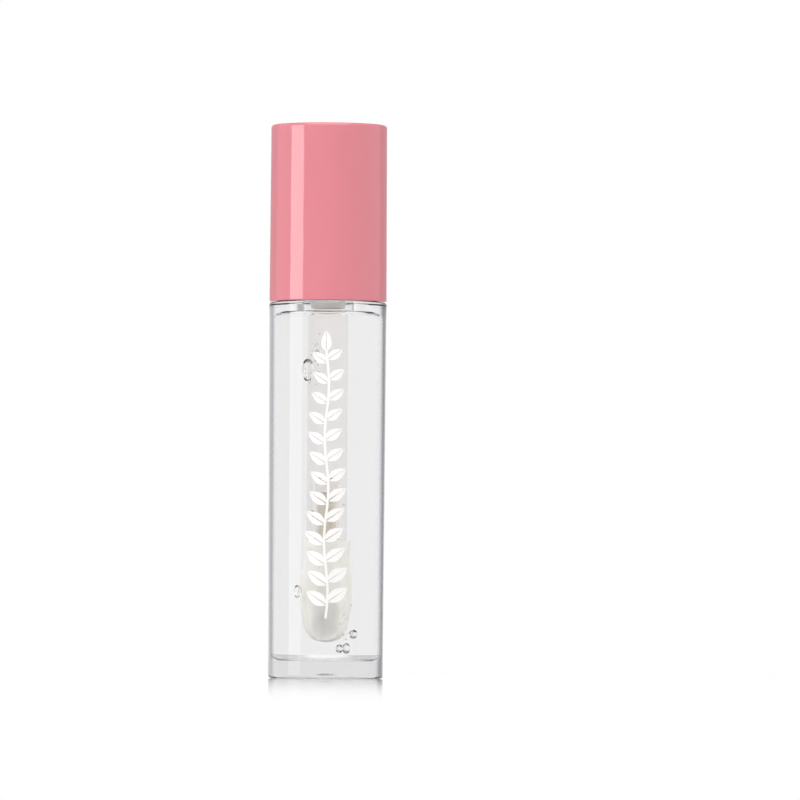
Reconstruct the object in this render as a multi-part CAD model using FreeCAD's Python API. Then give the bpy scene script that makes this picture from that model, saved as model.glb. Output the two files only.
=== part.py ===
import FreeCAD, Part
import math
import os

# A lip gloss tube, closed. Millimetres, +Z up. The origin is the centre of the bottle's base,
# and the tube's axis is Z. The doe-foot's slanted face looks along -Y.

V = FreeCAD.Vector
ORIGIN = V(0, 0, 0)
UP = V(0, 0, 1)

# ---- Driving dimensions ----------------------------------------------------------------------
TOTAL_HEIGHT = 80.0        # base to the cap's closed end
SHOULDER_Z = 54.3          # where the bottle's body ends and its neck starts
RIM_GAP = 0.1              # between the bottle's shoulder and the cap's rim
FIT = 0.05                 # radial room between pieces that slide or turn on each other
LEAD_IN = 0.2              # height of the slope at each side of a bead

BASE_R = 8.3               # bottle, at its base
SHOULDER_R = 8.5           # bottle, at its shoulder
BASE_EDGE_R = 0.45         # rounding round the base
SHOULDER_EDGE_R = 0.3      # rounding round the shoulder
FLOOR_Z = 2.5              # thickness of the bottle's floor
BORE_R = 5.1               # the bottle's bore
FLOOR_CORNER_R = 0.9       # rounding between the bore and the floor
GATE_R = 1.9               # domed recess round the moulding gate, under the base
GATE_DEPTH = 0.75

NECK_R = 5.75              # outside of the screw neck
NECK_BORE_R = 3.8
NECK_TOP_Z = 65.3
NECK_EDGE_R = 0.25         # rounding of the neck's mouth
NECK_BORE_Z = 53.0         # where the narrow neck bore starts, and how high the gloss stands
BORE_TOP_R = 1.1           # rounding between the bore and its ceiling round the neck bore
BEAD_R = 6.35              # transfer bead under the thread
BEAD_Z = (55.7, 56.5)

THREAD_LEAD = 3.0
THREAD_TURNS = 1.25
THREAD_HEIGHT = 0.7        # crest above root
THREAD_ROOT_HALF = 0.55    # half the ridge's width where it meets the wall
THREAD_CREST_HALF = 0.25
THREAD_BURIED = 0.2        # how far the ridge is let into the wall
THREAD_RUNOUT = 50.0       # degrees over which each end of the ridge fades into the wall
THREAD_START_Z = 58.8      # the neck ridge's centreline at its lower end
THREAD_OFFSET = -0.85      # the liner's ridge lies this far under the neck's
THREAD_SUNK = 1.1          # depth of a faded end, as a share of the ridge's height

WIPER_FLANGE_R = 5.2
WIPER_FLANGE = 0.8
WIPER_WALL = 0.6
WIPER_LIP_Z = 53.4         # lowest point of the scraping lip
WIPER_CONE_Z = 57.5        # where the wiper's straight barrel turns into its cone
WIPER_LIP_WALL = 0.4
WIPER_LIP_HEIGHT = 0.5
WIPER_CONE_SLOPE = (0.3, 0.8)   # how far in and down the cone's outside starts
WIPER_MOUTH_SLOPE = (0.3, 0.5)  # how far out and down the lead-in at its mouth goes
WIPER_EDGE_R = 0.2

SEAL_R = 4.9
SEAL_THICKNESS = 0.8
SEAL_EDGE_R = 0.15

STEM_R = 1.94
STEM_END_Z = 19.95         # lower end of the wand's stem, where the applicator's head starts
COLLAR_R = 2.85            # the stem's plug, which closes the wiper
COLLAR_Z = 62.0
COLLAR_SLOPE = 0.9         # height of the cone from the stem out to its plug
STEM_CORE_R = 1.0          # blind core-out from the top
STEM_CORE_Z = 57.0         # the core-out's blind end, which stays out of sight in the cap
SOCKET_R = 1.05
SOCKET_DEPTH = 9.0
STEM_FLANGE_R = 4.4
STEM_FLANGE = 1.0
STEM_EDGE_R = 0.25
STEM_CORE_END_R = 0.5
SOCKET_END_R = 0.4

SHANK_R = 0.875
SHANK_LENGTH = 6.9
SHANK_END_R = 0.3
HEAD_LENGTH = 14.75
HEAD_R = 2.52              # the flocked head's widest radius
HEAD_NECK_R = 2.27         # the slight waist above its end collar
HEAD_COLLAR_R = 2.4
FLOCK = 0.3                # depth of the flocked skin
SLANT_TIP_Y = -0.85        # where the slanted face would meet the tip's level
SLANT_TOP_Z = 13.6         # height at which the slanted face leaves the head's side

LINER_R = 7.2              # outside of the threaded liner
LINER_BORE_R = 6.65
LINER_RIM_Z = 55.4
LINER_PLATE = 1.5
LINER_COLLAR = 2.4         # height of the snap collar that holds the stem's flange
LINER_COLLAR_WALL = 0.8
LINER_SNAP = 0.35          # how far the snap bead stands over the stem's flange
LINER_SNAP_HEIGHT = 0.4    # of the snap bead's crest over the flange
LINER_SNAP_LAND = 0.1      # width of the bead's crest
SPLINE_RISE = 1.0          # how far over the liner's rim the splines start
SPLINE_COUNT = 24
SPLINE_WIDTH = 0.6
LINER_BEAD = 0.12          # retaining bead round the liner, and its groove in the shell
LINER_BEAD_Z = (60.0, 60.8)
GROOVE_SLOPE = 0.1         # height of the slope at each side of the groove

CAP_RIM_R = 8.5
CAP_TOP_R = 8.4
CAP_BORE_R = 7.4
CAP_TOP_WALL = 1.4
CAP_EDGE_R = 0.45
CAP_RIM_EDGE_R = 0.2
CAP_CORNER_R = 0.5         # rounding between the shell's bore and its ceiling
RIB_COUNT = 6
RIB_WIDTH = 0.8
RIB_INNER_R = 5.9
OVERLAP = 0.2              # how far a piece that is fused on is let into its neighbour

# ---- Worked out from the driving dimensions --------------------------------------------------
CAP_RIM_Z = SHOULDER_Z + RIM_GAP
WIPER_TOP_Z = NECK_TOP_Z + WIPER_FLANGE
PLATE_Z = WIPER_TOP_Z + SEAL_THICKNESS
PLATE_TOP_Z = PLATE_Z + LINER_PLATE
FLANGE_Z = PLATE_TOP_Z + FIT
FLANGE_TOP_Z = FLANGE_Z + STEM_FLANGE
SOCKET_END_Z = STEM_END_Z + SOCKET_DEPTH
TIP_Z = STEM_END_Z - HEAD_LENGTH
COLLAR_RING_R = STEM_FLANGE_R + 2 * FIT


# ---- Shapes that several pieces use ----------------------------------------------------------
def turned(*corners):
    """A solid of revolution about Z, from the (radius, height) corners of half its section."""
    outline = [V(radius, 0, height) for radius, height in corners]
    face = Part.Face(Part.makePolygon(outline + outline[:1]))
    return face.revolve(ORIGIN, UP, 360)


def disc(radius, low, high):
    """A plain disc about Z between two heights."""
    return Part.makeCylinder(radius, high - low, V(0, 0, low), UP)


def rounded(solid, size, *spots):
    """The solid with its full circles at these (radius, height) spots rounded off."""
    edges = [
        edge
        for edge in solid.Edges
        for radius, height in spots
        if isinstance(edge.Curve, Part.Circle)
        and math.isclose(edge.Curve.Radius, radius, abs_tol=1e-6)
        and math.isclose(edge.Curve.Center.z, height, abs_tol=1e-6)
    ]
    return solid.makeFillet(size, edges)


def thread_ridge(wall_r, outward, start_z):
    """One helical ridge on a round wall. Both of its ends fade into the wall."""
    side = 1 if outward else -1
    steps_per_turn = 24
    steps = int(THREAD_TURNS * steps_per_turn)
    fade = THREAD_RUNOUT / 360 * steps_per_turn
    path = []
    for step in range(steps + 1):
        from_end = min(step, steps - step)
        raised = math.sin(math.pi / 2 * min(1.0, from_end / fade))
        radius = wall_r - side * THREAD_HEIGHT * THREAD_SUNK * (1 - raised)
        turn = 2 * math.pi * step / steps_per_turn
        height = start_z + THREAD_LEAD * step / steps_per_turn
        path.append(V(radius * math.cos(turn), radius * math.sin(turn), height))
    curve = Part.BSplineCurve()
    curve.interpolate(path)

    slope = (THREAD_ROOT_HALF - THREAD_CREST_HALF) / THREAD_HEIGHT
    buried_half = THREAD_ROOT_HALF + slope * THREAD_BURIED
    section = [
        (-THREAD_BURIED, -buried_half),
        (THREAD_HEIGHT, -THREAD_CREST_HALF),
        (THREAD_HEIGHT, THREAD_CREST_HALF),
        (-THREAD_BURIED, buried_half),
    ]
    first = path[0]
    corners = [V(first.x + side * out, 0, first.z + along) for out, along in section]
    sweep = Part.BRepOffsetAPI.MakePipeShell(Part.Wire(curve.toShape()))
    sweep.setBiNormalMode(UP)
    sweep.add(Part.makePolygon(corners + corners[:1]))
    sweep.build()
    sweep.makeSolid()

    inner_r = min(wall_r - side * THREAD_BURIED, wall_r + side * THREAD_HEIGHT)
    outer_r = max(wall_r - side * THREAD_BURIED, wall_r + side * THREAD_HEIGHT)
    low = start_z - THREAD_LEAD
    high = start_z + THREAD_LEAD * (THREAD_TURNS + 1)
    band = disc(outer_r, low, high).cut(disc(inner_r, low, high))
    return sweep.shape().common(band)


# ---- The bottle and what stays with it -------------------------------------------------------
def bore_space():
    """The room inside the bottle from its floor to the foot of the narrow neck bore."""
    bore = rounded(disc(BORE_R, FLOOR_Z, NECK_BORE_Z), FLOOR_CORNER_R, (BORE_R, FLOOR_Z))
    return rounded(bore, BORE_TOP_R, (BORE_R, NECK_BORE_Z))


def bottle():
    """Thick-walled clear bottle with a gate recess, a transfer bead and a threaded neck."""
    body = turned((0, 0), (BASE_R, 0), (SHOULDER_R, SHOULDER_Z), (0, SHOULDER_Z))
    body = rounded(body, BASE_EDGE_R, (BASE_R, 0))
    body = rounded(body, SHOULDER_EDGE_R, (SHOULDER_R, SHOULDER_Z))
    neck = disc(NECK_R, SHOULDER_Z - OVERLAP, NECK_TOP_Z)
    bead_low, bead_high = BEAD_Z
    bead = turned(
        (0, bead_low), (NECK_R, bead_low), (BEAD_R, bead_low + LEAD_IN),
        (BEAD_R, bead_high - LEAD_IN), (NECK_R, bead_high), (0, bead_high),
    )
    outside = body.fuse([neck, bead]).removeSplitter()
    outside = outside.fuse(thread_ridge(NECK_R, True, THREAD_START_Z))

    neck_bore = disc(NECK_BORE_R, NECK_BORE_Z, NECK_TOP_Z)
    gate_ball_r = (GATE_R**2 + GATE_DEPTH**2) / (2 * GATE_DEPTH)
    gate = Part.makeSphere(gate_ball_r, V(0, 0, GATE_DEPTH - gate_ball_r))
    shape = outside.cut(bore_space().fuse(neck_bore))
    return rounded(shape, NECK_EDGE_R, (NECK_R, NECK_TOP_Z)).cut(gate)


def wiper():
    """Soft insert in the neck: a flange, a barrel, and a cone that ends in the scraping lip."""
    lip_r = STEM_R + FIT
    inner_r = NECK_BORE_R - WIPER_WALL
    cone_in, cone_down = WIPER_CONE_SLOPE
    mouth_out, mouth_down = WIPER_MOUTH_SLOPE
    shape = turned(
        (lip_r, WIPER_LIP_Z),
        (lip_r + WIPER_LIP_WALL, WIPER_LIP_Z),
        (NECK_BORE_R - cone_in, WIPER_CONE_Z - cone_down),
        (NECK_BORE_R, WIPER_CONE_Z),
        (NECK_BORE_R, NECK_TOP_Z),
        (WIPER_FLANGE_R, NECK_TOP_Z),
        (WIPER_FLANGE_R, WIPER_TOP_Z),
        (inner_r + mouth_out, WIPER_TOP_Z),
        (inner_r, WIPER_TOP_Z - mouth_down),
        (inner_r, WIPER_CONE_Z),
        (lip_r, WIPER_LIP_Z + WIPER_LIP_HEIGHT),
    )
    return rounded(shape, WIPER_EDGE_R, (WIPER_FLANGE_R, WIPER_TOP_Z))


def gloss_fill():
    """The gloss: all of the bore up to the neck, less the room that the wand takes."""
    room_for_stem = disc(STEM_R + FIT, STEM_END_Z - FIT, NECK_BORE_Z)
    room_for_head = head_body(FIT)
    return bore_space().cut(room_for_stem.fuse(room_for_head))


# ---- The seal and the wand -------------------------------------------------------------------
def seal_ring():
    """Foam washer that the liner presses on to the wiper's flange."""
    hole_r = COLLAR_R + FIT
    ring = turned(
        (hole_r, WIPER_TOP_Z), (SEAL_R, WIPER_TOP_Z), (SEAL_R, PLATE_Z), (hole_r, PLATE_Z)
    )
    return rounded(ring, SEAL_EDGE_R, (SEAL_R, WIPER_TOP_Z), (SEAL_R, PLATE_Z))


def wand_stem():
    """Clear rod with a socket below, a sealing collar, and a flange held by the liner."""
    rod = turned(
        (0, STEM_END_Z),
        (STEM_R, STEM_END_Z),
        (STEM_R, COLLAR_Z - COLLAR_SLOPE),
        (COLLAR_R, COLLAR_Z),
        (COLLAR_R, FLANGE_Z),
        (STEM_FLANGE_R, FLANGE_Z),
        (STEM_FLANGE_R, FLANGE_TOP_Z),
        (0, FLANGE_TOP_Z),
    )
    rod = rounded(rod, STEM_EDGE_R, (STEM_R, STEM_END_Z))
    socket = disc(SOCKET_R, STEM_END_Z, SOCKET_END_Z)
    socket = rounded(socket, SOCKET_END_R, (SOCKET_R, SOCKET_END_Z))
    core = disc(STEM_CORE_R, STEM_CORE_Z, FLANGE_TOP_Z)
    core = rounded(core, STEM_CORE_END_R, (STEM_CORE_R, STEM_CORE_Z))
    return rod.cut(socket).cut(core)


def head_body(grown):
    """The applicator's head, grown all round by a distance that may be negative."""
    tip_z = TIP_Z - grown
    top_z = STEM_END_Z + min(grown, 0)
    widest_z = TIP_Z + 0.55 * HEAD_LENGTH
    shoulder_z = TIP_Z + 0.27 * HEAD_LENGTH
    neck_z = TIP_Z + 0.83 * HEAD_LENGTH
    collar_z = TIP_Z + 0.93 * HEAD_LENGTH
    side = Part.BSplineCurve()
    side.interpolate(
        Points=[
            V(0, 0, tip_z),
            V(1.62 + grown, 0, TIP_Z + 0.87),
            V(2.36 + grown, 0, shoulder_z),
            V(HEAD_R + grown, 0, widest_z),
            V(HEAD_NECK_R + grown, 0, neck_z),
            V(HEAD_COLLAR_R + grown, 0, collar_z),
            V(HEAD_COLLAR_R - 0.05 + grown, 0, top_z),
        ],
        InitialTangent=V(1, 0, 0),
        FinalTangent=V(-0.05, 0, 1),
    )
    end_r = HEAD_COLLAR_R - 0.05 + grown
    across_top = Part.makeLine(V(end_r, 0, top_z), V(0, 0, top_z))
    down_axis = Part.makeLine(V(0, 0, top_z), V(0, 0, tip_z))
    outline = Part.Wire([side.toShape(), across_top, down_axis])
    head = Part.Face(outline).revolve(ORIGIN, UP, 360)

    lean = math.atan2(HEAD_R + SLANT_TIP_Y, SLANT_TOP_Z - TIP_Z)
    knife = Part.makeBox(20, 20, 40, V(-10, -20, -20))
    knife.rotate(ORIGIN, V(1, 0, 0), math.degrees(lean))
    knife.translate(V(0, SLANT_TIP_Y - grown / math.cos(lean), TIP_Z))
    return head.cut(knife)


def applicator_core():
    """The doe-foot's stiff inside, with the shank that is pressed into the stem's socket."""
    shank = disc(SHANK_R, STEM_END_Z - 2 * FLOCK, STEM_END_Z + SHANK_LENGTH)
    shank = rounded(shank, SHANK_END_R, (SHANK_R, STEM_END_Z + SHANK_LENGTH))
    return head_body(-FLOCK).fuse(shank).removeSplitter()


def applicator_flock():
    """The flocked skin that covers the doe-foot's core."""
    return head_body(0).cut(applicator_core())


# ---- The cap ---------------------------------------------------------------------------------
def inner_cap():
    """Threaded liner: skirt, plate, snap collar for the stem, and splines that grip the shell."""
    hole_r = COLLAR_R + FIT
    ring_r = COLLAR_RING_R
    collar_top = PLATE_TOP_Z + LINER_COLLAR
    bead_low, bead_high = LINER_BEAD_Z
    bead_r = CAP_BORE_R + LINER_BEAD
    shape = turned(
        (LINER_BORE_R, LINER_RIM_Z),
        (LINER_R, LINER_RIM_Z),
        (LINER_R, bead_low),
        (bead_r, bead_low + LEAD_IN),
        (bead_r, bead_high - LEAD_IN),
        (LINER_R, bead_high),
        (LINER_R, PLATE_TOP_Z),
        (ring_r + LINER_COLLAR_WALL, PLATE_TOP_Z),
        (ring_r + LINER_COLLAR_WALL, collar_top),
        (ring_r, collar_top),
        (STEM_FLANGE_R - LINER_SNAP, FLANGE_TOP_Z + LINER_SNAP_HEIGHT + LINER_SNAP_LAND),
        (STEM_FLANGE_R - LINER_SNAP, FLANGE_TOP_Z + LINER_SNAP_HEIGHT),
        (ring_r, FLANGE_TOP_Z + FIT),
        (ring_r, PLATE_TOP_Z),
        (hole_r, PLATE_TOP_Z),
        (hole_r, PLATE_Z),
        (LINER_BORE_R, PLATE_Z),
    )
    spline_z = LINER_RIM_Z + SPLINE_RISE
    spline = Part.makeBox(
        CAP_BORE_R, SPLINE_WIDTH, PLATE_TOP_Z - spline_z, V(0, -SPLINE_WIDTH / 2, spline_z)
    )
    splines = []
    for index in range(SPLINE_COUNT):
        copy = spline.copy()
        copy.rotate(ORIGIN, UP, 360 * index / SPLINE_COUNT)
        splines.append(copy)
    gap = disc(CAP_BORE_R, LINER_RIM_Z, PLATE_TOP_Z)
    gap = gap.cut(disc(LINER_R - OVERLAP, LINER_RIM_Z, PLATE_TOP_Z))
    splines = splines[0].fuse(splines[1:]).common(gap)
    ridge = thread_ridge(LINER_BORE_R, False, THREAD_START_Z + THREAD_OFFSET)
    return shape.fuse(splines).fuse(ridge)


def cap_shell():
    """Glossy overcap with a closed top, locating ribs above the liner, and a retaining groove."""
    outside = turned(
        (0, CAP_RIM_Z), (CAP_RIM_R, CAP_RIM_Z), (CAP_TOP_R, TOTAL_HEIGHT), (0, TOTAL_HEIGHT)
    )
    outside = rounded(outside, CAP_EDGE_R, (CAP_TOP_R, TOTAL_HEIGHT))
    outside = rounded(outside, CAP_RIM_EDGE_R, (CAP_RIM_R, CAP_RIM_Z))
    ceiling_z = TOTAL_HEIGHT - CAP_TOP_WALL
    hollow = disc(CAP_BORE_R, CAP_RIM_Z, ceiling_z)
    hollow = rounded(hollow, CAP_CORNER_R, (CAP_BORE_R, ceiling_z))
    bead_low, bead_high = LINER_BEAD_Z
    groove_r = CAP_BORE_R + LINER_BEAD
    groove = turned(
        (0, bead_low - GROOVE_SLOPE),
        (CAP_BORE_R, bead_low - GROOVE_SLOPE),
        (groove_r, bead_low),
        (groove_r, bead_high),
        (CAP_BORE_R, bead_high + GROOVE_SLOPE),
        (0, bead_high + GROOVE_SLOPE),
    )
    shape = outside.cut(hollow.fuse(groove))
    rib = Part.makeBox(
        CAP_BORE_R + OVERLAP - RIB_INNER_R, RIB_WIDTH, ceiling_z + OVERLAP - PLATE_TOP_Z,
        V(RIB_INNER_R, -RIB_WIDTH / 2, PLATE_TOP_Z),
    )
    ribs = []
    for index in range(RIB_COUNT):
        copy = rib.copy()
        copy.rotate(ORIGIN, UP, 360 * (index + 0.5) / RIB_COUNT)
        ribs.append(copy)
    return shape.fuse(ribs).removeSplitter()


PIECES = {
    "bottle": bottle,
    "wiper": wiper,
    "gloss_fill": gloss_fill,
    "seal_ring": seal_ring,
    "wand_stem": wand_stem,
    "applicator_core": applicator_core,
    "applicator_flock": applicator_flock,
    "inner_cap": inner_cap,
    "cap_shell": cap_shell,
}

os.makedirs("parts", exist_ok=True)
for name, make in PIECES.items():
    shape = make()
    shape.exportStep(f"parts/{name}.step")
    box = shape.BoundBox
    print(
        f"{name:17s} valid {shape.isValid()}  solids {len(shape.Solids)}  volume {shape.Volume:8.2f}"
        f"  z {box.ZMin:6.2f} to {box.ZMax:6.2f}  widest {max(box.XMax, box.YMax):5.2f}"
    )
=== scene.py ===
import math
import random

import bmesh
import bpy
from mathutils import Matrix, Vector, noise


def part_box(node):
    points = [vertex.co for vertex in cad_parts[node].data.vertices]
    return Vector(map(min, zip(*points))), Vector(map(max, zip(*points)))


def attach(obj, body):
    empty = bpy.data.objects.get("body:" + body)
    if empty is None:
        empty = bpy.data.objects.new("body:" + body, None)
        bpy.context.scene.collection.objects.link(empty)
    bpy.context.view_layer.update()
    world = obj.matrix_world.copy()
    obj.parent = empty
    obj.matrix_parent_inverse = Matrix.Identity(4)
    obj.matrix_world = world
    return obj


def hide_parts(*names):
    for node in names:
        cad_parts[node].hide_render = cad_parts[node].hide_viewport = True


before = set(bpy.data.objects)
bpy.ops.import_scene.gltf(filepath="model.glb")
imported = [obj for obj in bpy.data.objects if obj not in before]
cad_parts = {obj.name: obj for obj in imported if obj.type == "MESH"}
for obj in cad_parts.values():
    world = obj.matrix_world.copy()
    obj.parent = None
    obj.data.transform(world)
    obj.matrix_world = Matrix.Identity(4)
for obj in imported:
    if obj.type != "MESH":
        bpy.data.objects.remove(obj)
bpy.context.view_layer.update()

# A lip gloss tube: lathe meshes with fine profiles stand for the CAD nodes whose finish shows.
# Lengths here are in millimetres until a mesh is made, and every place comes from the frame.

MM = 0.001
AXIS_GAP = 1e-6            # a radius under this is on the axis
SAME = 1e-4                # lengths this close are the same
random.seed(7)


def top(node):
    """The height of a node's highest point, in millimetres."""
    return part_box(node)[1].z / MM


def foot(node):
    """The height of a node's lowest point, in millimetres."""
    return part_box(node)[0].z / MM


def reach(node):
    """A round node's largest radius, in millimetres."""
    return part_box(node)[1].x / MM


# ---- Sizes, from the frame ---------------------------------------------------------------------
BASE_Z = foot("bottle")
NECK_TOP = top("bottle")
CAP_FOOT = foot("cap_shell")
CAP_TOP = top("cap_shell")
CAP_R = reach("cap_shell")
FLOOR_Z = foot("gloss_fill")
LEVEL_Z = top("gloss_fill")
BORE_R = reach("gloss_fill")
WIPER_TOP = top("wiper")
WIPER_R = reach("wiper")
LIP_Z = foot("wiper")
STEM_FOOT = foot("wand_stem")
STEM_TOP = top("wand_stem")
FLANGE_R = reach("wand_stem")
TIP_Z = foot("applicator_flock")
SHANK_TOP = top("applicator_core")
HEAD_R = reach("applicator_flock")

# ---- Sizes that the boxes can't give -----------------------------------------------------------
SHOULDER_Z = CAP_FOOT - 0.1
SHOULDER_R = CAP_R
BASE_R = CAP_R - 0.2
CAP_TOP_R = CAP_R - 0.1
CAP_BORE_R = CAP_R - 1.1
CAP_CEILING = CAP_TOP - 1.4
RIB_FOOT = 68.4
RIB_R = 5.9
RIB_HALF = 0.4
RIBS = 6
NECK_R = 5.75
NECK_BORE_R = 3.8
BEAD_R = 6.35
BEAD_LOW = 55.9
BEAD_HIGH = 56.3
BEAD_SLOPE = 0.2           # the height of the slope at each side of the bead
BORE_TOP_R = 1.1
FLOOR_CORNER_R = 0.9
GATE_R = 1.9
GATE_DEPTH = 0.75
THREAD_START = 58.8
THREAD_LEAD = 3.0
THREAD_TURNS = 1.25
THREAD_HEIGHT = 0.7
THREAD_ROOT_HALF = 0.55
THREAD_CREST_HALF = 0.25
THREAD_RUNOUT = math.radians(50)
STEM_R = 1.94
GLOSS_BORE_R = STEM_R + 0.05   # the gloss's bore round the stem
COLLAR_R = 2.85
SOCKET_R = 1.05
SOCKET_TOP = STEM_FOOT + 9.0
CORE_OUT_R = 1.0
CORE_OUT_Z = 57.0
SHANK_R = 0.875
FLOCK = 0.3
HEAD_LENGTH = STEM_FOOT - TIP_Z
HEAD_CLIMB = 3.75          # how far the head climbs in the gloss while the cap unscrews
SLANT_TIP_Y = -0.85
SLANT_TOP_Z = 13.6


# ---- Mesh helpers ------------------------------------------------------------------------------
def rounded_corners(corners, steps=8):
    """A section's (radius, height) points. A corner is (radius, height) or has a rounding third."""
    points = []
    for index, corner in enumerate(corners):
        here = Vector(corner[:2])
        if len(corner) == 2:
            points.append(here)
            continue
        size = corner[2]
        back = (Vector(corners[index - 1][:2]) - here).normalized()
        ahead = (Vector(corners[(index + 1) % len(corners)][:2]) - here).normalized()
        angle = back.angle(ahead)
        centre = here + (back + ahead).normalized() * size / math.sin(angle / 2)
        spoke = here + back * size / math.tan(angle / 2) - centre
        side = 1 if back.x * ahead.y - back.y * ahead.x < 0 else -1
        guard = 0.15 * size    # a point this far past each end of the arc keeps the flats flat
        points.append(centre + spoke + back * guard)
        for step in range(steps + 1):
            turn = Matrix.Rotation(side * (math.pi - angle) * step / steps, 2)
            points.append(centre + turn @ spoke)
        points.append(here + ahead * (size / math.tan(angle / 2) + guard))
    return points


def smooth_curve(points, steps):
    """Points along a smooth curve through the given ones."""
    ends = [points[0] * 2 - points[1], points[-1] * 2 - points[-2]]
    row = [ends[0], *points, ends[1]]
    curve = []
    for a, b, c, d in zip(row, row[1:], row[2:], row[3:]):
        for step in range(steps):
            t = step / steps
            curve.append(
                0.5 * (2 * b + (c - a) * t + (2 * a - 5 * b + 4 * c - d) * t**2
                       + (3 * b - a - 3 * c + d) * t**3)
            )
    return curve + [points[-1]]


def lathe(points, segments, closed=False, place=None, paint=None):
    """A turned bmesh. place(radius, height, turn) gives a point, and paint a face's material."""
    mesh = bmesh.new()
    rings = []
    for radius, height in points:
        count = 1 if radius < AXIS_GAP else segments
        ring = []
        for step in range(count):
            turn = 2 * math.pi * step / segments
            if place:
                spot = place(radius, height, turn)
            else:
                spot = Vector((radius * math.cos(turn), radius * math.sin(turn), height))
            ring.append(mesh.verts.new(spot * MM))
        rings.append(ring)
    pairs = list(zip(rings, rings[1:], points, points[1:]))
    if closed:
        pairs.append((rings[-1], rings[0], points[-1], points[0]))
    for low, high, a, b in pairs:
        index = paint((a[0] + b[0]) / 2, (a[1] + b[1]) / 2) if paint else 0
        for step in range(segments):
            after = (step + 1) % segments
            corners = [low[step % len(low)], low[after % len(low)]]
            corners += [high[after % len(high)], high[step % len(high)]]
            unique = list(dict.fromkeys(corners))
            if len(unique) > 2:
                mesh.faces.new(unique).material_index = index
    bmesh.ops.recalc_face_normals(mesh, faces=mesh.faces)
    return mesh


def piece(name, mesh, materials, body, slot, *nodes, sharp=35):
    """Makes an object of a bmesh, smooth but for edges sharper than an angle, and binds it."""
    data = bpy.data.meshes.new(name)
    mesh.to_mesh(data)
    mesh.free()
    for face in data.polygons:
        face.use_smooth = True
    data.set_sharp_from_angle(angle=math.radians(sharp))
    for material in materials:
        data.materials.append(material)
    made = bpy.data.objects.new(name, data)
    bpy.context.scene.collection.objects.link(made)
    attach(made, body)
    if nodes:
        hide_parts(*nodes)


# ---- Materials ---------------------------------------------------------------------------------
class Recipe:
    """A material's node tree, with short ways to add what most of them use."""

    def __init__(self, name, **settings):
        self.material = bpy.data.materials.new(name)
        self.material.use_nodes = True
        self.tree = self.material.node_tree
        self.shader = self.tree.nodes["Principled BSDF"]
        for key, value in settings.items():
            self.shader.inputs[key.replace("_", " ")].default_value = value
        self.coords = self.tree.nodes.new("ShaderNodeTexCoord").outputs["Object"]

    def stretched(self, scale):
        """The object's coordinates, scaled along each axis."""
        node = self.tree.nodes.new("ShaderNodeMapping")
        node.inputs["Scale"].default_value = scale
        self.tree.links.new(self.coords, node.inputs["Vector"])
        return node.outputs["Vector"]

    def grain(self, scale, detail=3.0, stretch=(1, 1, 1), roughness=0.5):
        """A noise of so many waves a metre."""
        node = self.tree.nodes.new("ShaderNodeTexNoise")
        node.inputs["Scale"].default_value = scale
        node.inputs["Detail"].default_value = detail
        node.inputs["Roughness"].default_value = roughness
        self.tree.links.new(self.stretched(stretch), node.inputs["Vector"])
        return node.outputs["Fac"]

    def ramp(self, source, *stops):
        """A colour ramp with (position, colour) stops."""
        node = self.tree.nodes.new("ShaderNodeValToRGB")
        elements = node.color_ramp.elements
        while len(elements) < len(stops):
            elements.new(0.5)
        for element, (position, colour) in zip(elements, stops):
            element.position = position
            element.color = (*colour, 1)
        self.tree.links.new(source, node.inputs["Fac"])
        return node.outputs["Color"]

    def span(self, source, low, high):
        """Maps a 0.3 to 0.7 source to a range."""
        node = self.tree.nodes.new("ShaderNodeMapRange")
        node.inputs["From Min"].default_value = 0.3
        node.inputs["From Max"].default_value = 0.7
        node.inputs["To Min"].default_value = low
        node.inputs["To Max"].default_value = high
        self.tree.links.new(source, node.inputs["Value"])
        return node.outputs["Result"]

    def feed(self, source, socket):
        """Links a source to one of the shader's sockets."""
        self.tree.links.new(source, self.shader.inputs[socket])

    def bump(self, source, strength, distance):
        """Adds a bump to the shader's normal, over any that it has."""
        node = self.tree.nodes.new("ShaderNodeBump")
        node.inputs["Strength"].default_value = strength
        node.inputs["Distance"].default_value = distance
        self.tree.links.new(source, node.inputs["Height"])
        links = self.shader.inputs["Normal"].links
        if links:
            self.tree.links.new(links[0].from_socket, node.inputs["Normal"])
        self.tree.links.new(node.outputs["Normal"], self.shader.inputs["Normal"])


def cap_pink():
    """High-gloss solid pink, a touch translucent, with a faint ripple in the gloss."""
    recipe = Recipe(
        "cap_pink", Roughness=0.06, IOR=1.49, Subsurface_Weight=0.25, Subsurface_Scale=0.0012,
        Subsurface_Radius=(1.0, 0.45, 0.4), Specular_IOR_Level=0.95,
    )
    tone = recipe.ramp(
        recipe.grain(90, stretch=(1, 1, 0.4)), (0.3, (0.73, 0.205, 0.247)), (0.7, (0.76, 0.224, 0.266))
    )
    recipe.feed(tone, "Base Color")
    recipe.feed(recipe.span(recipe.grain(2600, 4), 0.05, 0.09), "Roughness")
    recipe.bump(recipe.grain(350, 1, (1, 1, 0.3)), 0.04, 0.0004)
    return recipe.material


def clear_plastic(name, colour, ior, ripple, shine=1.0, rim=None, roughness=0.0):
    """Water-clear moulded plastic with the slight waviness of a moulding.

    Where a thick wall is seen along its length, its colour turns to rim: painted shade that darkens a
    band near the edges, with a violet cast that stands in for the edge's colour fringe.
    """
    recipe = Recipe(
        name, Base_Color=(*colour, 1), Roughness=roughness, IOR=ior, Transmission_Weight=1.0,
        Specular_Tint=(shine, shine, shine, 1),
    )
    if rim:
        # The facing ramp darkens a band near the edges to the rim colour: painted shade.
        facing = recipe.tree.nodes.new("ShaderNodeLayerWeight").outputs["Facing"]
        tone = recipe.ramp(facing, (0.55, colour), (0.65, rim), (0.75, rim), (0.88, colour))
        recipe.feed(tone, "Base Color")
    recipe.bump(recipe.grain(160, 1, (1, 1, 0.25)), ripple, 0.0004)
    return recipe.material


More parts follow.
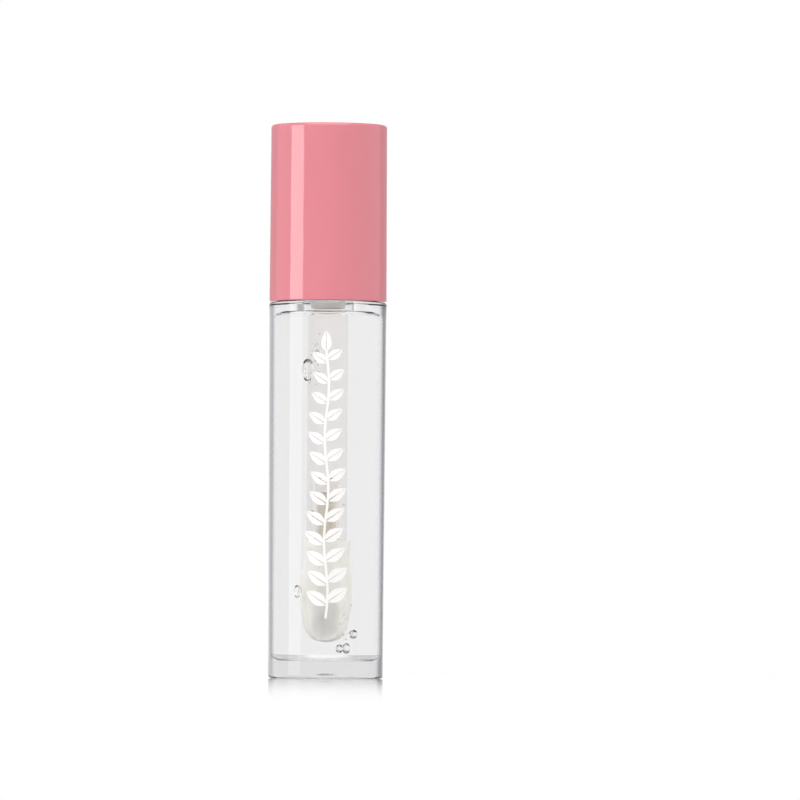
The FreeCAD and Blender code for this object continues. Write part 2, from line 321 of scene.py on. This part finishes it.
def gloss_surface():
    """The gloss where it meets air: its level and its bubbles."""
    recipe = Recipe(
        "gloss_surface", Base_Color=(0.99, 0.985, 0.97, 1), Roughness=0.0, IOR=1.46,
        Transmission_Weight=1.0,
    )
    recipe.bump(recipe.grain(900, 2), 0.05, 0.0002)
    return recipe.material


def gloss_contact():
    """The gloss where it wets plastic: only its faint haze shows there."""
    recipe = Recipe("gloss_contact", Base_Color=(0.93, 0.91, 0.87, 1), Roughness=0.4, IOR=1.0)
    haze = recipe.span(recipe.grain(260, 2, (1, 1, 0.5)), 0.0, 0.02)
    recipe.feed(haze, "Alpha")
    return recipe.material


def soft_plastic(name, light, dark, roughness, subsurface):
    """Natural polyolefin: milky, satin, with a fine moulded grain."""
    recipe = Recipe(
        name, IOR=1.5, Subsurface_Weight=subsurface, Subsurface_Scale=0.0015,
        Subsurface_Radius=(1.0, 0.95, 0.85),
    )
    recipe.feed(recipe.ramp(recipe.grain(420, 4), (0.35, dark), (0.65, light)), "Base Color")
    recipe.feed(recipe.span(recipe.grain(3000, 3), roughness - 0.06, roughness + 0.06), "Roughness")
    recipe.bump(recipe.grain(5000, 3), 0.15, 0.00005)
    return recipe.material


def seal_foam():
    """Fine closed-cell foam, its cell hollows tinted darker as painted shade."""
    recipe = Recipe(
        "seal_foam", Roughness=0.75, IOR=1.45, Subsurface_Weight=0.3, Subsurface_Scale=0.0008
    )
    cells = recipe.tree.nodes.new("ShaderNodeTexVoronoi")
    cells.inputs["Scale"].default_value = 6000
    recipe.tree.links.new(recipe.coords, cells.inputs["Vector"])
    height = cells.outputs["Distance"]
    # The tone follows the cells' bump height, so the hollows are darker: painted shade.
    tone = recipe.ramp(height, (0.0, (0.62, 0.6, 0.58)), (0.6, (0.86, 0.85, 0.83)))
    recipe.feed(tone, "Base Color")
    recipe.bump(height, 0.6, 0.0001)
    return recipe.material


def flock():
    """Cream nylon flock wet with gloss: soft pile under a wet coat, matted in streaks."""
    recipe = Recipe(
        "flock", IOR=1.46, Subsurface_Weight=0.3, Subsurface_Scale=0.0003,
        Subsurface_Radius=(1.0, 0.92, 0.8), Sheen_Weight=0.1, Sheen_Roughness=0.4,
        Coat_Weight=0.5, Coat_Roughness=0.12,
    )
    streaks = recipe.grain(900, 4, (1, 1, 0.18))
    tone = recipe.ramp(streaks, (0.32, (0.77, 0.75, 0.69)), (0.55, (0.83, 0.81, 0.76)),
                       (0.75, (0.85, 0.84, 0.81)))
    recipe.feed(tone, "Base Color")
    recipe.feed(recipe.span(streaks, 0.3, 0.6), "Roughness")
    recipe.bump(streaks, 0.5, 0.00012)
    recipe.bump(recipe.grain(9000, 3), 0.5, 0.00005)
    return recipe.material


def print_ink():
    """White screen-print ink, with a fine mesh grain."""
    recipe = Recipe("print_ink", Roughness=0.35, IOR=1.5)
    tone = recipe.ramp(recipe.grain(2500, 3), (0.3, (0.96, 0.95, 0.94)), (0.7, (0.99, 0.98, 0.97)))
    recipe.feed(tone, "Base Color")
    recipe.bump(recipe.grain(7000, 2), 0.2, 0.00003)
    return recipe.material


# The bottle's outside, with painted shade in a band near its edges.
BOTTLE_OUTSIDE_SHADED_RIM = clear_plastic(
    "bottle_clear", (0.93, 0.93, 0.935), 1.57, 0.03, 0.5, rim=(0.3, 0.29, 0.33)
)
# The base is tinted darker, with a darker band near its edges: painted shade at the bottle's foot.
BOTTLE_BASE_SHADED = clear_plastic(
    "bottle_base_shaded", (0.81, 0.8, 0.807), 1.57, 0.06, 0.5, rim=(0.42, 0.41, 0.44)
)
# The gate's recess is frosted, and its darker beige tint is painted shade.
GATE_FROST_SHADED = clear_plastic("gate_frost_shaded", (0.62, 0.56, 0.53), 1.57, 0.1, 0.5, roughness=0.3)
BOTTLE_WETTED = clear_plastic("bottle_wetted", (0.995, 0.995, 0.99), 1.05, 0.02)
STEM_CLEAR = clear_plastic("stem_clear", (0.93, 0.905, 0.885), 1.16, 0.02)
GLOSS_SURFACE = gloss_surface()
GLOSS_CONTACT = gloss_contact()
CREAM = soft_plastic("applicator_cream", (0.82, 0.79, 0.71), (0.78, 0.75, 0.67), 0.35, 0.2)
LINER_WHITE = soft_plastic("liner_white", (0.86, 0.85, 0.84), (0.81, 0.8, 0.79), 0.4, 0.35)
WIPER_MILKY = soft_plastic("wiper_milky", (0.96, 0.9, 0.86), (0.93, 0.87, 0.83), 0.35, 0.3)


# ---- The bottle --------------------------------------------------------------------------------
def thread_height(height, turn):
    """How far the neck's thread stands over its wall."""
    share = turn / 2 / math.pi
    turns_below = max(0, round((height - THREAD_START) / THREAD_LEAD - share))
    along = turn + 2 * math.pi * turns_below
    length = THREAD_TURNS * 2 * math.pi
    if along > length:
        return 0.0
    aside = abs(height - THREAD_START - THREAD_LEAD * along / 2 / math.pi)
    flank = (THREAD_ROOT_HALF - aside) / (THREAD_ROOT_HALF - THREAD_CREST_HALF)
    flank = min(1.0, max(0.0, flank))
    raised = math.sin(math.pi / 2 * min(1.0, along / THREAD_RUNOUT, (length - along) / THREAD_RUNOUT))
    return THREAD_HEIGHT * raised * flank * flank * (3 - 2 * flank)


def bottle_point(radius, height, turn):
    """The thread stands out from the neck's wall."""
    if abs(radius - NECK_R) < SAME:
        radius += thread_height(height, turn)
    return Vector((radius * math.cos(turn), radius * math.sin(turn), height))


def bottle_paint(radius, height):
    """Material 1 is the wall that the gloss wets, 2 the thick base and 3 the gate's frosted recess; 2
    and 3 are tinted darker as painted shade.
    """
    if radius < BORE_R + 0.01 and FLOOR_Z - 0.01 < height < LEVEL_Z + 0.01:
        return 1
    if height < FLOOR_Z:
        return 2 if radius > GATE_R else 3
    return 0


def make_bottle():
    """From the recess under its base, up its outside, and down its bore to the floor."""
    thread_low = THREAD_START - 1.4
    thread_high = NECK_TOP - 0.6
    rows = 110
    thread = [
        (NECK_R, thread_low + (thread_high - thread_low) * row / rows) for row in range(rows + 1)
    ]
    steps = 16
    dome = [
        (GATE_R * step / steps, BASE_Z + GATE_DEPTH * (1 - (step / steps) ** 2))
        for step in range(steps + 1)
    ]
    section = rounded_corners([
        *dome,
        (BASE_R, BASE_Z, 0.45),
        # This point splits the outer wall at the gloss's floor, so that the base's painted shade stops
        # there.
        (BASE_R + (SHOULDER_R - BASE_R) * FLOOR_Z / SHOULDER_Z, FLOOR_Z),
        (SHOULDER_R, SHOULDER_Z, 0.3),
        (NECK_R, SHOULDER_Z, 0.15),
        (NECK_R, BEAD_LOW - BEAD_SLOPE),
        (BEAD_R, BEAD_LOW, 0.08),
        (BEAD_R, BEAD_HIGH, 0.08),
        (NECK_R, BEAD_HIGH + BEAD_SLOPE),
        *thread,
        (NECK_R, NECK_TOP, 0.25),
        (NECK_BORE_R, NECK_TOP, 0.15),
        (NECK_BORE_R, LEVEL_Z),
        (BORE_R, LEVEL_Z, BORE_TOP_R),
        (BORE_R, FLOOR_Z, FLOOR_CORNER_R),
        (0, FLOOR_Z),
    ])
    mesh = lathe(section, 256, place=bottle_point, paint=bottle_paint)
    materials = [BOTTLE_OUTSIDE_SHADED_RIM, BOTTLE_WETTED, BOTTLE_BASE_SHADED, GATE_FROST_SHADED]
    piece("bottle_shell", mesh, materials, "bottle", "bottle_clear", "bottle")


make_bottle()


# ---- The gloss, with its bubbles ---------------------------------------------------------------
def head_side(grown):
    """The applicator head's half section from its tip to its top, grown all round."""
    widest_r = HEAD_R - 0.02
    # Each point is a radius and a height over the tip.
    shape = [
        (0.0, -grown), (1.05, 0.32), (1.62, 0.87), (2.08, 2.0), (2.36, 0.27 * HEAD_LENGTH),
        (widest_r, 0.42 * HEAD_LENGTH), (widest_r, 0.62 * HEAD_LENGTH), (2.27, 0.83 * HEAD_LENGTH),
        (2.38, 0.93 * HEAD_LENGTH), (2.35, HEAD_LENGTH + min(grown, 0)),
    ]
    points = [Vector((radius + (grown if radius else 0), TIP_Z + height)) for radius, height in shape]
    return smooth_curve(points, 6)


def add_bubble(mesh, x, y, z, size, tall):
    """A bubble: a closed hollow in the gloss, so its faces look inwards."""
    matrix = Matrix.Translation(Vector((x, y, z)) * MM) @ Matrix.Diagonal((1, 1, tall, 1))
    made = bmesh.ops.create_icosphere(mesh, subdivisions=4, radius=size * MM, matrix=matrix)
    faces = list({face for vert in made["verts"] for face in vert.link_faces})
    bmesh.ops.reverse_faces(mesh, faces=faces)


def make_gloss():
    """The bore's filling, with a hollow for the wand that is as tall as the head's climb."""
    wall_gap = 0.004
    head_gap = 0.06
    sunk = 0.22                # how far the level dips between the stem and the neck
    steps = 12
    surface = [
        (GLOSS_BORE_R + (NECK_BORE_R - wall_gap - GLOSS_BORE_R) * step / steps,
         LEVEL_Z - wall_gap - sunk * math.sin(math.pi * step / steps))
        for step in range(steps + 1)
    ]
    roof = STEM_FOOT + HEAD_CLIMB + 0.1
    surface_low = LEVEL_Z - 0.3
    widest = TIP_Z + 0.5 * HEAD_LENGTH
    cavity = [(GLOSS_BORE_R, LEVEL_Z - 0.5), (GLOSS_BORE_R, roof), (HEAD_R + head_gap, roof)]
    head = [(point.x, point.y) for point in reversed(head_side(head_gap)) if point.y < widest]
    section = rounded_corners([
        (0, FLOOR_Z + wall_gap),
        (BORE_R - wall_gap, FLOOR_Z + wall_gap, FLOOR_CORNER_R),
        (BORE_R - wall_gap, LEVEL_Z - wall_gap, BORE_TOP_R),
        (NECK_BORE_R - wall_gap, LEVEL_Z - wall_gap),
        *reversed(surface[:-1]),
        *cavity,
        *head,
    ])

    def paint(radius, height):
        """Material 0 is the level, which meets air, and 1 is where the gloss wets plastic."""
        return 0 if height > surface_low and GLOSS_BORE_R < radius < NECK_BORE_R - 0.01 else 1

    mesh = lathe(section, 128, paint=paint)
    # Each bubble is x, y, z, radius and how many times as tall as wide.
    bubbles = [
        (-3.2, -2.6, 12.5, 0.5, 1.9), (-1.62, -3.8, 23.7, 0.36, 1.3),
        (1.65, -4.0, 4.3, 0.45, 1.4), (2.45, -3.6, 4.35, 0.52, 1.5), (3.15, -2.7, 6.4, 0.55, 1.2),
        (2.05, -3.6, 25.0, 0.14, 1.2), (-2.25, -3.3, 44.4, 0.82, 2.0), (-1.2, -4.1, 46.9, 0.3, 1.2),
    ]
    for bubble in bubbles:
        add_bubble(mesh, *bubble)
    froth_r = 4.75
    for _ in range(26):
        x = random.uniform(-2.7, -0.4)
        z = 45.2 + random.gauss(0, 1.6)
        depth = math.sqrt(froth_r**2 - x * x) - random.uniform(0.0, 0.8)
        add_bubble(mesh, x, -depth, z, random.uniform(0.05, 0.16), 1.1)
    for _ in range(14):
        x = random.uniform(1.6, 3.1)
        z = random.uniform(5.5, 12.0)
        depth = math.sqrt(froth_r**2 - x * x) - random.uniform(0.0, 0.6)
        add_bubble(mesh, x, -depth, z, random.uniform(0.04, 0.11), 1.1)
    piece("gloss", mesh, [GLOSS_SURFACE, GLOSS_CONTACT], "bottle", "gloss", "gloss_fill")


make_gloss()


# ---- The wiper ---------------------------------------------------------------------------------
def make_wiper():
    """A sleeve in the neck with a flange on top and a lip that grips the stem."""
    barrel_r = NECK_BORE_R - 0.01
    inner_r = NECK_BORE_R - 0.6
    lip_r = GLOSS_BORE_R
    barrel_z = 57.5            # the barrel ends here, and the cone to the lip begins
    section = rounded_corners([
        (lip_r, LIP_Z, 0.06),
        (lip_r + 0.4, LIP_Z, 0.12),
        (barrel_r - 0.3, barrel_z - 0.8, 0.3),
        (barrel_r, barrel_z, 0.3),
        (barrel_r, NECK_TOP + 0.01, 0.05),
        (WIPER_R, NECK_TOP + 0.01, 0.08),
        (WIPER_R, WIPER_TOP, 0.2),
        (inner_r + 0.3, WIPER_TOP, 0.1),
        (inner_r, WIPER_TOP - 0.5, 0.2),
        (inner_r, barrel_z, 0.3),
        (lip_r, LIP_Z + 0.5, 0.1),
    ])
    mesh = lathe(section, 160, closed=True)
    piece("wiper_insert", mesh, [WIPER_MILKY], "bottle", "wiper_soft", "wiper")


make_wiper()


# ---- The wand ----------------------------------------------------------------------------------
def make_stem():
    """A rod with a socket for the applicator, a collar, a flange and a cored-out top."""
    flange_z = STEM_TOP - 1.0
    collar_z = 62.0
    section = rounded_corners([
        (0, SOCKET_TOP),
        (SOCKET_R, SOCKET_TOP, 0.4),
        (SOCKET_R, STEM_FOOT, 0.08),
        (STEM_R, STEM_FOOT, 0.25),
        (STEM_R, collar_z - 0.9, 0.4),
        (COLLAR_R, collar_z, 0.4),
        (COLLAR_R, flange_z, 0.05),
        (FLANGE_R, flange_z, 0.1),
        (FLANGE_R, STEM_TOP, 0.1),
        (CORE_OUT_R, STEM_TOP, 0.1),
        (CORE_OUT_R, CORE_OUT_Z, 0.5),
        (0, CORE_OUT_Z),
    ])
    mesh = lathe(section, 160)
    piece("stem", mesh, [STEM_CLEAR], "wand", "stem_clear", "wand_stem")


make_stem()


def slanted(spot, grown):
    """Presses a point of the head back on to its slanted face, with a soft edge."""
    lean = (HEAD_R + SLANT_TIP_Y) / (SLANT_TOP_Z - TIP_Z)
    plane_y = SLANT_TIP_Y - grown - lean * (spot.z - TIP_Z)
    soft = 0.16
    over = spot.y - plane_y
    spot.y = plane_y + (over + math.sqrt(over * over + soft * soft)) / 2
    return spot


def make_head():
    """The flocked skin: the head's outside, the lip round its top and its inside."""
    outside = head_side(0)
    inside = head_side(-FLOCK)[::-1]
    lip = [Vector((inside[0].x + 0.02, STEM_FOOT))]
    row_height = 0.09
    tuft_zone = 1.2            # the tufts stand within this far of the head's side or its tip
    dense = []
    for a, b in zip(outside, outside[1:]):
        count = max(1, round((b - a).length / row_height))
        dense += [a.lerp(b, step / count) for step in range(count)]
    section = dense + [outside[-1]] + lip + inside

    def skin_point(radius, height, turn):
        spot = Vector((radius * math.cos(turn), radius * math.sin(turn), height))
        tufted = radius > HEAD_R - tuft_zone or height < TIP_Z + tuft_zone
        if radius > AXIS_GAP and tufted:
            tuft = noise.fractal(Vector((spot.x * 2.2, spot.y * 2.2, spot.z * 0.7)), 1.0, 2.0, 4)
            fuzz = noise.noise(spot * 9.0)
            radius += -0.05 + 0.045 * tuft + 0.02 * fuzz
            spot.x = radius * math.cos(turn)
            spot.y = radius * math.sin(turn)
        return slanted(spot, 0.0)

    mesh = lathe(section, 200, place=skin_point)
    piece("doe_foot_flock", mesh, [flock()], "cap", "flock", "applicator_flock")


make_head()


def make_core():
    """The plastic core under the flock, with the shank that goes up into the stem's socket."""
    core_depth = FLOCK + 0.02
    inside = head_side(-core_depth)
    shank = rounded_corners([
        (SHANK_R, STEM_FOOT), (SHANK_R, SHANK_TOP, 0.3), (0, SHANK_TOP)
    ])
    section = inside[:-1] + [Vector((inside[-1].x, STEM_FOOT - 0.05))] + shank

    def core_point(radius, height, turn):
        spot = Vector((radius * math.cos(turn), radius * math.sin(turn), height))
        return slanted(spot, -core_depth) if height < STEM_FOOT - 0.01 else spot

    mesh = lathe(section, 96, place=core_point)
    piece("doe_foot_core", mesh, [CREAM], "cap", "applicator_core", "applicator_core")


make_core()


# ---- The cap -----------------------------------------------------------------------------------
def cap_point(radius, height, turn):
    """Ribs stand in from the bore's wall above the liner."""
    pitch = 2 * math.pi / RIBS
    offset = (turn / pitch) % 1 - 0.5
    aside = abs(offset) * pitch * CAP_BORE_R
    in_rib = aside < RIB_HALF and RIB_FOOT < height <= CAP_CEILING + SAME
    if in_rib and RIB_R < radius < CAP_BORE_R + 0.01:
        radius = RIB_R
    return Vector((radius * math.cos(turn), radius * math.sin(turn), height))


def make_cap():
    """The overcap, with a groove round its bore that holds the liner's bead."""
    groove_low = 59.9
    groove_high = 60.9
    groove_slope = 0.1         # the height of the slope at each side of the groove
    groove_r = CAP_BORE_R + 0.12
    section = rounded_corners([
        (0, CAP_TOP),
        (CAP_TOP_R, CAP_TOP, 0.45),
        (CAP_R, CAP_FOOT, 0.2),
        (CAP_BORE_R, CAP_FOOT, 0.15),
        (CAP_BORE_R, groove_low),
        (groove_r, groove_low + groove_slope),
        (groove_r, groove_high - groove_slope),
        (CAP_BORE_R, groove_high),
        (CAP_BORE_R, RIB_FOOT - 0.01),
        (CAP_BORE_R, RIB_FOOT + 0.01),
        (CAP_BORE_R, CAP_CEILING, 0.5),
        (0, CAP_CEILING),
    ])
    mesh = lathe(section, 240, place=cap_point)
    bmesh.ops.dissolve_degenerate(mesh, dist=1e-7, edges=mesh.edges)
    piece("overcap", mesh, [cap_pink()], "cap", "cap_pink", "cap_shell")


make_cap()


def dress(node, material):
    """Gives a CAD node that stays in view its material."""
    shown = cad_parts[node]
    shown.data.materials.clear()
    shown.data.materials.append(material)


dress("inner_cap", LINER_WHITE)
dress("seal_ring", seal_foam())


# ---- The printed ornament: a leafy sprig, bent round the bottle ---------------------------------
INK_LIFT = 0.006
INK_THICKNESS = 0.014
SPRIG_LOW = 8.6
SPRIG_HIGH = 49.8


def on_bottle(across, height, lift):
    """A point of the print: across is measured round the wall from the front."""
    wall = BASE_R + (SHOULDER_R - BASE_R) * height / SHOULDER_Z
    turn = across / wall - math.pi / 2
    radius = wall + lift
    return Vector((radius * math.cos(turn), radius * math.sin(turn), height)) * MM


def ink_patch(mesh, rows):
    """A closed thin sheet of ink over a grid of (across, height) rows."""
    sides = []
    for lift in (INK_LIFT, INK_LIFT + INK_THICKNESS):
        sides.append([[mesh.verts.new(on_bottle(*spot, lift)) for spot in row] for row in rows])
    under, over = sides
    last_row, last = len(rows) - 1, len(rows[0]) - 1
    for i in range(last_row):
        for j in range(last):
            mesh.faces.new([over[i][j], over[i][j + 1], over[i + 1][j + 1], over[i + 1][j]])
            mesh.faces.new([under[i][j], under[i + 1][j], under[i + 1][j + 1], under[i][j + 1]])
    rim = [(0, j) for j in range(last)] + [(i, last) for i in range(last_row)]
    rim += [(last_row, j) for j in range(last, 0, -1)] + [(i, 0) for i in range(last_row, 0, -1)]
    for (i, j), (k, l) in zip(rim, rim[1:] + rim[:1]):
        mesh.faces.new([under[i][j], under[k][l], over[k][l], over[i][j]])


def leaf(mesh, across, height, length, width, angle):
    """Two half blades with a bare midrib between them."""
    turn = Matrix.Rotation(angle, 2)
    steps = 14
    for side in (-1, 1):
        rows = []
        for step in range(steps + 1):
            along = step / steps
            half = width / 2 * math.sin(math.pi * along**0.8) ** 0.85 if 0 < along < 1 else 0.0
            bare = 0.05 + 0.05 * (1 - along)
            outer = max(half, bare + 0.01)
            row = []
            for lane in range(5):
                off = side * (bare + (outer - bare) * lane / 4)
                spot = turn @ Vector((length * along, off))
                row.append((across + spot.x, height + spot.y))
            rows.append(row)
        ink_patch(mesh, rows)


def stalk(mesh, points, width):
    """A line of ink along (across, height) points."""
    rows = []
    for index, point in enumerate(points):
        before = points[max(0, index - 1)]
        after = points[min(len(points) - 1, index + 1)]
        along = (Vector(after) - Vector(before)).normalized()
        aside = Vector((-along.y, along.x)) * width / 2
        rows.append([tuple(Vector(point) + aside * lane) for lane in (-1, 0, 1)])
    ink_patch(mesh, rows)


def sway(height):
    """The main stalk's gentle wave."""
    return 0.28 * math.sin((height - SPRIG_LOW) * 0.42)


def make_print():
    """A stalk with pairs of leaves that grow smaller towards its top, and one leaf at its end."""
    mesh = bmesh.new()
    count = 60
    stalk_top = SPRIG_HIGH - 2.6
    first_pair = SPRIG_LOW + 2.0
    last_pair = SPRIG_HIGH - 4.4
    heights = [SPRIG_LOW + (stalk_top - SPRIG_LOW) * step / count for step in range(count + 1)]
    stalk(mesh, [(sway(z), z) for z in heights], 0.34)
    pairs = 13
    for index in range(pairs):
        share = index / (pairs - 1)
        z = first_pair + (last_pair - first_pair) * share
        length = 3.5 - 1.0 * share
        for side in (-1, 1):
            lift = z + (0.5 if side > 0 else 0)
            lean = math.radians(34) if side > 0 else math.radians(146)
            leaf(mesh, sway(lift) + side * 0.12, lift, length, 1.85 - 0.45 * share, lean)
    leaf(mesh, sway(stalk_top), stalk_top - 0.2, 3.0, 1.5, math.radians(90))
    bmesh.ops.recalc_face_normals(mesh, faces=mesh.faces)
    piece("printed_sprig", mesh, [print_ink()], "bottle", "bottle_clear", sharp=60)


make_print()


# ---- The studio, with its lengths in metres ----------------------------------------------------
EYE_HEIGHT = 0.003
EYE_DISTANCE = 1.4
FRAME_WIDTH = 0.1156
ASIDE = 0.0105             # the tube stands this far left of the picture's middle
BASE_DROP = 0.0403         # the tube's foot is this far under the picture's middle
ROLL = math.radians(0.4)
TUBE_MIDDLE = 0.04         # the height that the lamps face
ROOM_LEVEL = 0.64          # how bright the room is that lights the outside of the tube
INSIDE_LEVEL = 2.85        # the same, for the light that reaches what is in the bottle
FLOOR_FADE = (0.05, 0.75)  # the floor fades out between these distances from the tube
FLOOR_GAP = 0.00002        # the floor lies this far under the tube's foot


def make_camera():
    """A long lens near the floor, level with the tube's foot, that looks along +Y."""
    data = bpy.data.cameras.new("camera")
    data.lens = data.sensor_width * EYE_DISTANCE / FRAME_WIDTH
    data.clip_start = 0.05
    data.clip_end = 50
    camera = bpy.data.objects.new("camera", data)
    bpy.context.scene.collection.objects.link(camera)
    camera.location = (ASIDE, -EYE_DISTANCE, EYE_HEIGHT)
    look = Vector((ASIDE, 0, BASE_DROP)) - camera.location
    aim = look.to_track_quat("-Z", "Y").to_matrix().to_4x4()
    camera.rotation_euler = (aim @ Matrix.Rotation(ROLL, 4, "Z")).to_euler()
    bpy.context.scene.camera = camera


def softbox(name, azimuth, elevation, distance, width, height, radiance):
    """A flat lamp that faces the tube. Azimuth 0 is the camera's side, and 90 the right."""
    data = bpy.data.lights.new(name, "AREA")
    data.shape = "RECTANGLE"
    data.size = width
    data.size_y = height
    data.energy = radiance * math.pi * width * height
    lamp = bpy.data.objects.new(name, data)
    lamp.visible_transmission = False
    bpy.context.scene.collection.objects.link(lamp)
    a, e = math.radians(azimuth), math.radians(elevation)
    away = Vector((math.sin(a) * math.cos(e), -math.cos(a) * math.cos(e), math.sin(e)))
    lamp.location = Vector((0, 0, TUBE_MIDDLE)) + away * distance
    lamp.rotation_euler = away.to_track_quat("Z", "Y").to_euler()


def make_world():
    """A white room with a dim gap on the tube's left. Each kind of ray meets its own brightness."""
    world = bpy.data.worlds.new("studio")
    bpy.context.scene.world = world
    world.use_nodes = True
    nodes, links = world.node_tree.nodes, world.node_tree.links
    background = nodes["Background"]
    split = nodes.new("ShaderNodeSeparateXYZ")
    links.new(nodes.new("ShaderNodeTexCoord").outputs["Generated"], split.inputs["Vector"])
    azimuth = nodes.new("ShaderNodeMath")
    azimuth.operation = "ARCTAN2"
    links.new(split.outputs["X"], azimuth.inputs[0])
    links.new(split.outputs["Y"], azimuth.inputs[1])
    share = nodes.new("ShaderNodeMapRange")
    share.inputs["From Min"].default_value = -math.pi
    share.inputs["From Max"].default_value = math.pi
    links.new(azimuth.outputs["Value"], share.inputs["Value"])

    def panorama(*stops):
        """Brightness round the tube. Azimuth 0 is straight behind it, and 90 its right."""
        ramp = nodes.new("ShaderNodeValToRGB")
        elements = ramp.color_ramp.elements
        while len(elements) < len(stops):
            elements.new(0.5)
        for element, (degrees, level) in zip(elements, stops):
            element.position = (degrees + 180) / 360
            element.color = (level, level, level * 1.01, 1)
        links.new(share.outputs["Result"], ramp.inputs["Fac"])
        return ramp.outputs["Color"]

    through = panorama(
        (-180, 1.0), (-94, 1.0), (-84, 0.38), (-66, 0.38), (-54, 0.84), (-35, 0.91),
        (8, 0.91), (36, 0.87), (60, 0.9), (80, 1.0),
    )
    mirrored = panorama(
        (-65, 0.95), (-50, 0.5), (-20, 0.5), (-8, 1.08), (8, 1.08), (20, 0.5), (50, 0.5),
        (65, 0.95),
    )
    height = nodes.new("ShaderNodeMath")
    height.operation = "ABSOLUTE"
    links.new(split.outputs["Z"], height.inputs[0])
    # Up and down, the room that shows through the bottle is dimmer.
    dusk = nodes.new("ShaderNodeMapRange")
    dusk.interpolation_type = "SMOOTHSTEP"
    dusk.inputs["From Min"].default_value = 0.45
    dusk.inputs["From Max"].default_value = 0.9
    dusk.inputs["To Min"].default_value = 1.0
    dusk.inputs["To Max"].default_value = 0.25
    links.new(height.outputs["Value"], dusk.inputs["Value"])
    dimmed = nodes.new("ShaderNodeVectorMath")
    dimmed.operation = "SCALE"
    links.new(through, dimmed.inputs[0])
    links.new(dusk.outputs["Result"], dimmed.inputs["Scale"])
    rays = nodes.new("ShaderNodeLightPath")
    inside = nodes.new("ShaderNodeMix")
    inside.data_type = "RGBA"
    inside.inputs["B"].default_value = (INSIDE_LEVEL, INSIDE_LEVEL, INSIDE_LEVEL, 1)
    links.new(rays.outputs["Diffuse Depth"], inside.inputs["Factor"])
    links.new(dimmed.outputs["Vector"], inside.inputs["A"])
    light = None
    for ray, level in (
        ("Is Glossy Ray", mirrored),
        ("Is Transmission Ray", inside.outputs["Result"]),
        ("Is Camera Ray", None),
    ):
        mix = nodes.new("ShaderNodeMix")
        mix.data_type = "RGBA"
        mix.inputs["A"].default_value = (ROOM_LEVEL, ROOM_LEVEL, ROOM_LEVEL, 1)
        mix.inputs["B"].default_value = (1, 1, 1, 1)
        links.new(rays.outputs[ray], mix.inputs["Factor"])
        if light:
            links.new(light, mix.inputs["A"])
        if level:
            links.new(level, mix.inputs["B"])
        light = mix.outputs["Result"]
    links.new(light, background.inputs["Color"])


def make_floor():
    """A white glossy floor that fades into the white room away from the tube."""
    mesh = bmesh.new()
    bmesh.ops.create_circle(mesh, cap_ends=True, segments=96, radius=FLOOR_FADE[1])
    data = bpy.data.meshes.new("floor")
    mesh.to_mesh(data)
    mesh.free()
    floor = bpy.data.objects.new("floor", data)
    bpy.context.scene.collection.objects.link(floor)
    recipe = Recipe("floor", Base_Color=(0.92, 0.92, 0.92, 1), Roughness=0.04)
    nodes, links = recipe.tree.nodes, recipe.tree.links
    distance = nodes.new("ShaderNodeVectorMath")
    distance.operation = "LENGTH"
    links.new(recipe.coords, distance.inputs[0])
    fade = nodes.new("ShaderNodeMapRange")
    fade.interpolation_type = "SMOOTHSTEP"
    fade.inputs["From Min"].default_value = FLOOR_FADE[0]
    fade.inputs["From Max"].default_value = FLOOR_FADE[1]
    links.new(distance.outputs["Value"], fade.inputs["Value"])
    mix = nodes.new("ShaderNodeMixShader")
    links.new(fade.outputs["Result"], mix.inputs["Fac"])
    links.new(recipe.shader.outputs["BSDF"], mix.inputs[1])
    links.new(nodes.new("ShaderNodeBsdfTransparent").outputs["BSDF"], mix.inputs[2])
    links.new(mix.outputs["Shader"], nodes["Material Output"].inputs["Surface"])
    data.materials.append(recipe.material)
    floor.location.z = -FLOOR_GAP


make_camera()
make_world()
make_floor()
softbox("left_strip", -65, 0, 1.0, 0.52, 0.6, 2.55)
softbox("overhead", 0, 62, 1.3, 1.6, 1.6, 1.5)

bpy.context.scene.view_settings.view_transform = "Standard"
